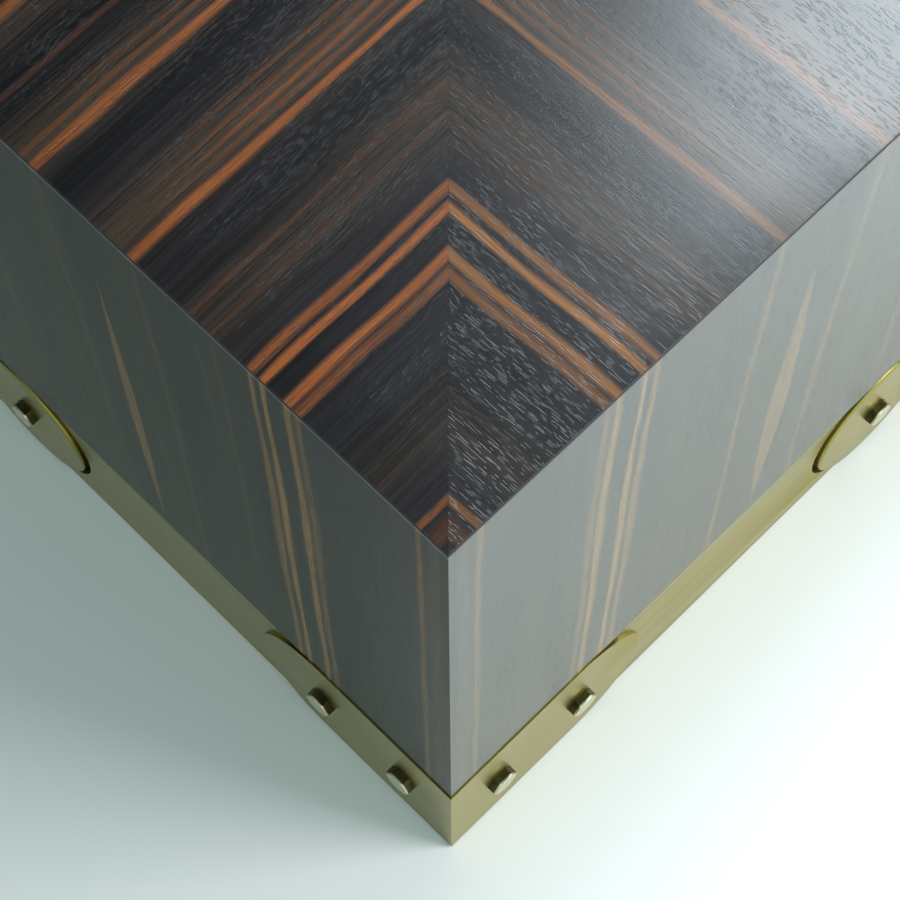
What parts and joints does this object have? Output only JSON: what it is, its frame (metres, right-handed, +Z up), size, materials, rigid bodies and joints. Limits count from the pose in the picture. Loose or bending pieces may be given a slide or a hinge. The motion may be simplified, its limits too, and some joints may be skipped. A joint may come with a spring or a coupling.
{
  "type": "puzzle box",
  "caption": "Square ebony-veneered puzzle box whose cover lifts off a brass-plinthed base; discs on the sides drive hidden bolts and hexagonal pegs press in.",
  "frame": {"origin": "centre of the underside, on the surface the box stands on", "axes": "+Z up, +X out of the right side, -Y out of the front side; the box is square, so the sides are alike"},
  "size_m": [0.171, 0.171, 0.11],
  "materials": {
    "ebony_veneer": "satin",
    "core_wood": "satin",
    "board_wood": "satin",
    "tray_wood": "satin",
    "plinth_brass": "satin",
    "disc_brass": "satin",
    "peg_brass": "satin",
    "bolt_brass": "satin",
    "screw_brass": "satin",
    "spring_steel": "satin",
    "baize_felt": "matt",
    "lining_suede": "matt"
  },
  "bodies": {
    "base": {"base_board": "board_wood", "base_baize": "baize_felt", "tray_lining": "lining_suede", "bar_screws": "screw_brass", "pin_springs": "spring_steel", "plinth_bar_right": "plinth_brass", "plinth_bar_back": "plinth_brass", "plinth_bar_left": "plinth_brass", "plinth_bar_front": "plinth_brass", "tray_wall_right": "tray_wood", "tray_wall_back": "tray_wood", "tray_wall_left": "tray_wood", "tray_wall_front": "tray_wood"},
    "cover": {"cover_top_board": "core_wood", "cover_lining": "lining_suede", "keeper_hooks": "bolt_brass", "keeper_screws": "screw_brass", "cover_side_right": "core_wood", "cover_side_back": "core_wood", "cover_side_left": "core_wood", "cover_side_front": "core_wood", "side_veneer_right": "ebony_veneer", "side_veneer_back": "ebony_veneer", "side_veneer_left": "ebony_veneer", "side_veneer_front": "ebony_veneer", "top_veneer_right": "ebony_veneer", "top_veneer_back": "ebony_veneer", "top_veneer_left": "ebony_veneer", "top_veneer_front": "ebony_veneer"},
    "knob_right": {"disc_right": "disc_brass", "drive_spindle_right": "peg_brass"},
    "bolt_right": {"bolt_right": "bolt_brass"},
    "push_pin_right_outer_near": {"push_pin_right_outer_near": "peg_brass"},
    "push_pin_right_inner_near": {"push_pin_right_inner_near": "peg_brass"},
    "push_pin_right_inner_far": {"push_pin_right_inner_far": "peg_brass"},
    "push_pin_right_outer_far": {"push_pin_right_outer_far": "peg_brass"},
    "knob_back": {"disc_back": "disc_brass", "drive_spindle_back": "peg_brass"},
    "bolt_back": {"bolt_back": "bolt_brass"},
    "push_pin_back_outer_near": {"push_pin_back_outer_near": "peg_brass"},
    "push_pin_back_inner_near": {"push_pin_back_inner_near": "peg_brass"},
    "push_pin_back_inner_far": {"push_pin_back_inner_far": "peg_brass"},
    "push_pin_back_outer_far": {"push_pin_back_outer_far": "peg_brass"},
    "knob_left": {"disc_left": "disc_brass", "drive_spindle_left": "peg_brass"},
    "bolt_left": {"bolt_left": "bolt_brass"},
    "push_pin_left_outer_near": {"push_pin_left_outer_near": "peg_brass"},
    "push_pin_left_inner_near": {"push_pin_left_inner_near": "peg_brass"},
    "push_pin_left_inner_far": {"push_pin_left_inner_far": "peg_brass"},
    "push_pin_left_outer_far": {"push_pin_left_outer_far": "peg_brass"},
    "knob_front": {"disc_front": "disc_brass", "drive_spindle_front": "peg_brass"},
    "bolt_front": {"bolt_front": "bolt_brass"},
    "push_pin_front_outer_near": {"push_pin_front_outer_near": "peg_brass"},
    "push_pin_front_inner_near": {"push_pin_front_inner_near": "peg_brass"},
    "push_pin_front_inner_far": {"push_pin_front_inner_far": "peg_brass"},
    "push_pin_front_outer_far": {"push_pin_front_outer_far": "peg_brass"}
  },
  "joints": [
    {"name": "cover_lift", "type": "slide", "parent": "base", "child": "cover", "axis": [0, 0, 1], "range_m": [0, 0.09]},
    {"name": "disc_turn_right", "type": "hinge", "parent": "base", "child": "knob_right", "pos_m": [0.084, 0, 0.01215], "axis": [-1, 0, 0], "range_deg": [0, 90]},
    {"name": "bolt_slide_right", "type": "slide", "parent": "base", "child": "bolt_right", "axis": [0, 1, 0], "range_m": [0, 0.00786]},
    {"name": "press_right_outer_near", "type": "slide", "parent": "base", "child": "push_pin_right_outer_near", "axis": [-1, 0, 0], "range_m": [0, 0.0009], "stiffness_N_per_m": 400, "springref_m": -0.001},
    {"name": "press_right_inner_near", "type": "slide", "parent": "base", "child": "push_pin_right_inner_near", "axis": [-1, 0, 0], "range_m": [0, 0.0009], "stiffness_N_per_m": 400, "springref_m": -0.001},
    {"name": "press_right_inner_far", "type": "slide", "parent": "base", "child": "push_pin_right_inner_far", "axis": [-1, 0, 0], "range_m": [0, 0.0009], "stiffness_N_per_m": 400, "springref_m": -0.001},
    {"name": "press_right_outer_far", "type": "slide", "parent": "base", "child": "push_pin_right_outer_far", "axis": [-1, 0, 0], "range_m": [0, 0.0009], "stiffness_N_per_m": 400, "springref_m": -0.001},
    {"name": "disc_turn_back", "type": "hinge", "parent": "base", "child": "knob_back", "pos_m": [0, 0.084, 0.01215], "axis": [0, -1, 0], "range_deg": [0, 90]},
    {"name": "bolt_slide_back", "type": "slide", "parent": "base", "child": "bolt_back", "axis": [-1, 0, 0], "range_m": [0, 0.00786]},
    {"name": "press_back_outer_near", "type": "slide", "parent": "base", "child": "push_pin_back_outer_near", "axis": [0, -1, 0], "range_m": [0, 0.0009], "stiffness_N_per_m": 400, "springref_m": -0.001},
    {"name": "press_back_inner_near", "type": "slide", "parent": "base", "child": "push_pin_back_inner_near", "axis": [0, -1, 0], "range_m": [0, 0.0009], "stiffness_N_per_m": 400, "springref_m": -0.001},
    {"name": "press_back_inner_far", "type": "slide", "parent": "base", "child": "push_pin_back_inner_far", "axis": [0, -1, 0], "range_m": [0, 0.0009], "stiffness_N_per_m": 400, "springref_m": -0.001},
    {"name": "press_back_outer_far", "type": "slide", "parent": "base", "child": "push_pin_back_outer_far", "axis": [0, -1, 0], "range_m": [0, 0.0009], "stiffness_N_per_m": 400, "springref_m": -0.001},
    {"name": "disc_turn_left", "type": "hinge", "parent": "base", "child": "knob_left", "pos_m": [-0.084, 0, 0.01215], "axis": [1, 0, 0], "range_deg": [0, 90]},
    {"name": "bolt_slide_left", "type": "slide", "parent": "base", "child": "bolt_left", "axis": [0, -1, 0], "range_m": [0, 0.00786]},
    {"name": "press_left_outer_near", "type": "slide", "parent": "base", "child": "push_pin_left_outer_near", "axis": [1, 0, 0], "range_m": [0, 0.0009], "stiffness_N_per_m": 400, "springref_m": -0.001},
    {"name": "press_left_inner_near", "type": "slide", "parent": "base", "child": "push_pin_left_inner_near", "axis": [1, 0, 0], "range_m": [0, 0.0009], "stiffness_N_per_m": 400, "springref_m": -0.001},
    {"name": "press_left_inner_far", "type": "slide", "parent": "base", "child": "push_pin_left_inner_far", "axis": [1, 0, 0], "range_m": [0, 0.0009], "stiffness_N_per_m": 400, "springref_m": -0.001},
    {"name": "press_left_outer_far", "type": "slide", "parent": "base", "child": "push_pin_left_outer_far", "axis": [1, 0, 0], "range_m": [0, 0.0009], "stiffness_N_per_m": 400, "springref_m": -0.001},
    {"name": "disc_turn_front", "type": "hinge", "parent": "base", "child": "knob_front", "pos_m": [0, -0.084, 0.01215], "axis": [0, 1, 0], "range_deg": [0, 90]},
    {"name": "bolt_slide_front", "type": "slide", "parent": "base", "child": "bolt_front", "axis": [1, 0, 0], "range_m": [0, 0.00786]},
    {"name": "press_front_outer_near", "type": "slide", "parent": "base", "child": "push_pin_front_outer_near", "axis": [0, 1, 0], "range_m": [0, 0.0009], "stiffness_N_per_m": 400, "springref_m": -0.001},
    {"name": "press_front_inner_near", "type": "slide", "parent": "base", "child": "push_pin_front_inner_near", "axis": [0, 1, 0], "range_m": [0, 0.0009], "stiffness_N_per_m": 400, "springref_m": -0.001},
    {"name": "press_front_inner_far", "type": "slide", "parent": "base", "child": "push_pin_front_inner_far", "axis": [0, 1, 0], "range_m": [0, 0.0009], "stiffness_N_per_m": 400, "springref_m": -0.001},
    {"name": "press_front_outer_far", "type": "slide", "parent": "base", "child": "push_pin_front_outer_far", "axis": [0, 1, 0], "range_m": [0, 0.0009], "stiffness_N_per_m": 400, "springref_m": -0.001}
  ],
  "couplings": [
    {"joint": "bolt_slide_right", "follows": "disc_turn_right", "m_per_rad": 0.005},
    {"joint": "bolt_slide_back", "follows": "disc_turn_back", "m_per_rad": 0.005},
    {"joint": "bolt_slide_left", "follows": "disc_turn_left", "m_per_rad": 0.005},
    {"joint": "bolt_slide_front", "follows": "disc_turn_front", "m_per_rad": 0.005}
  ]
}
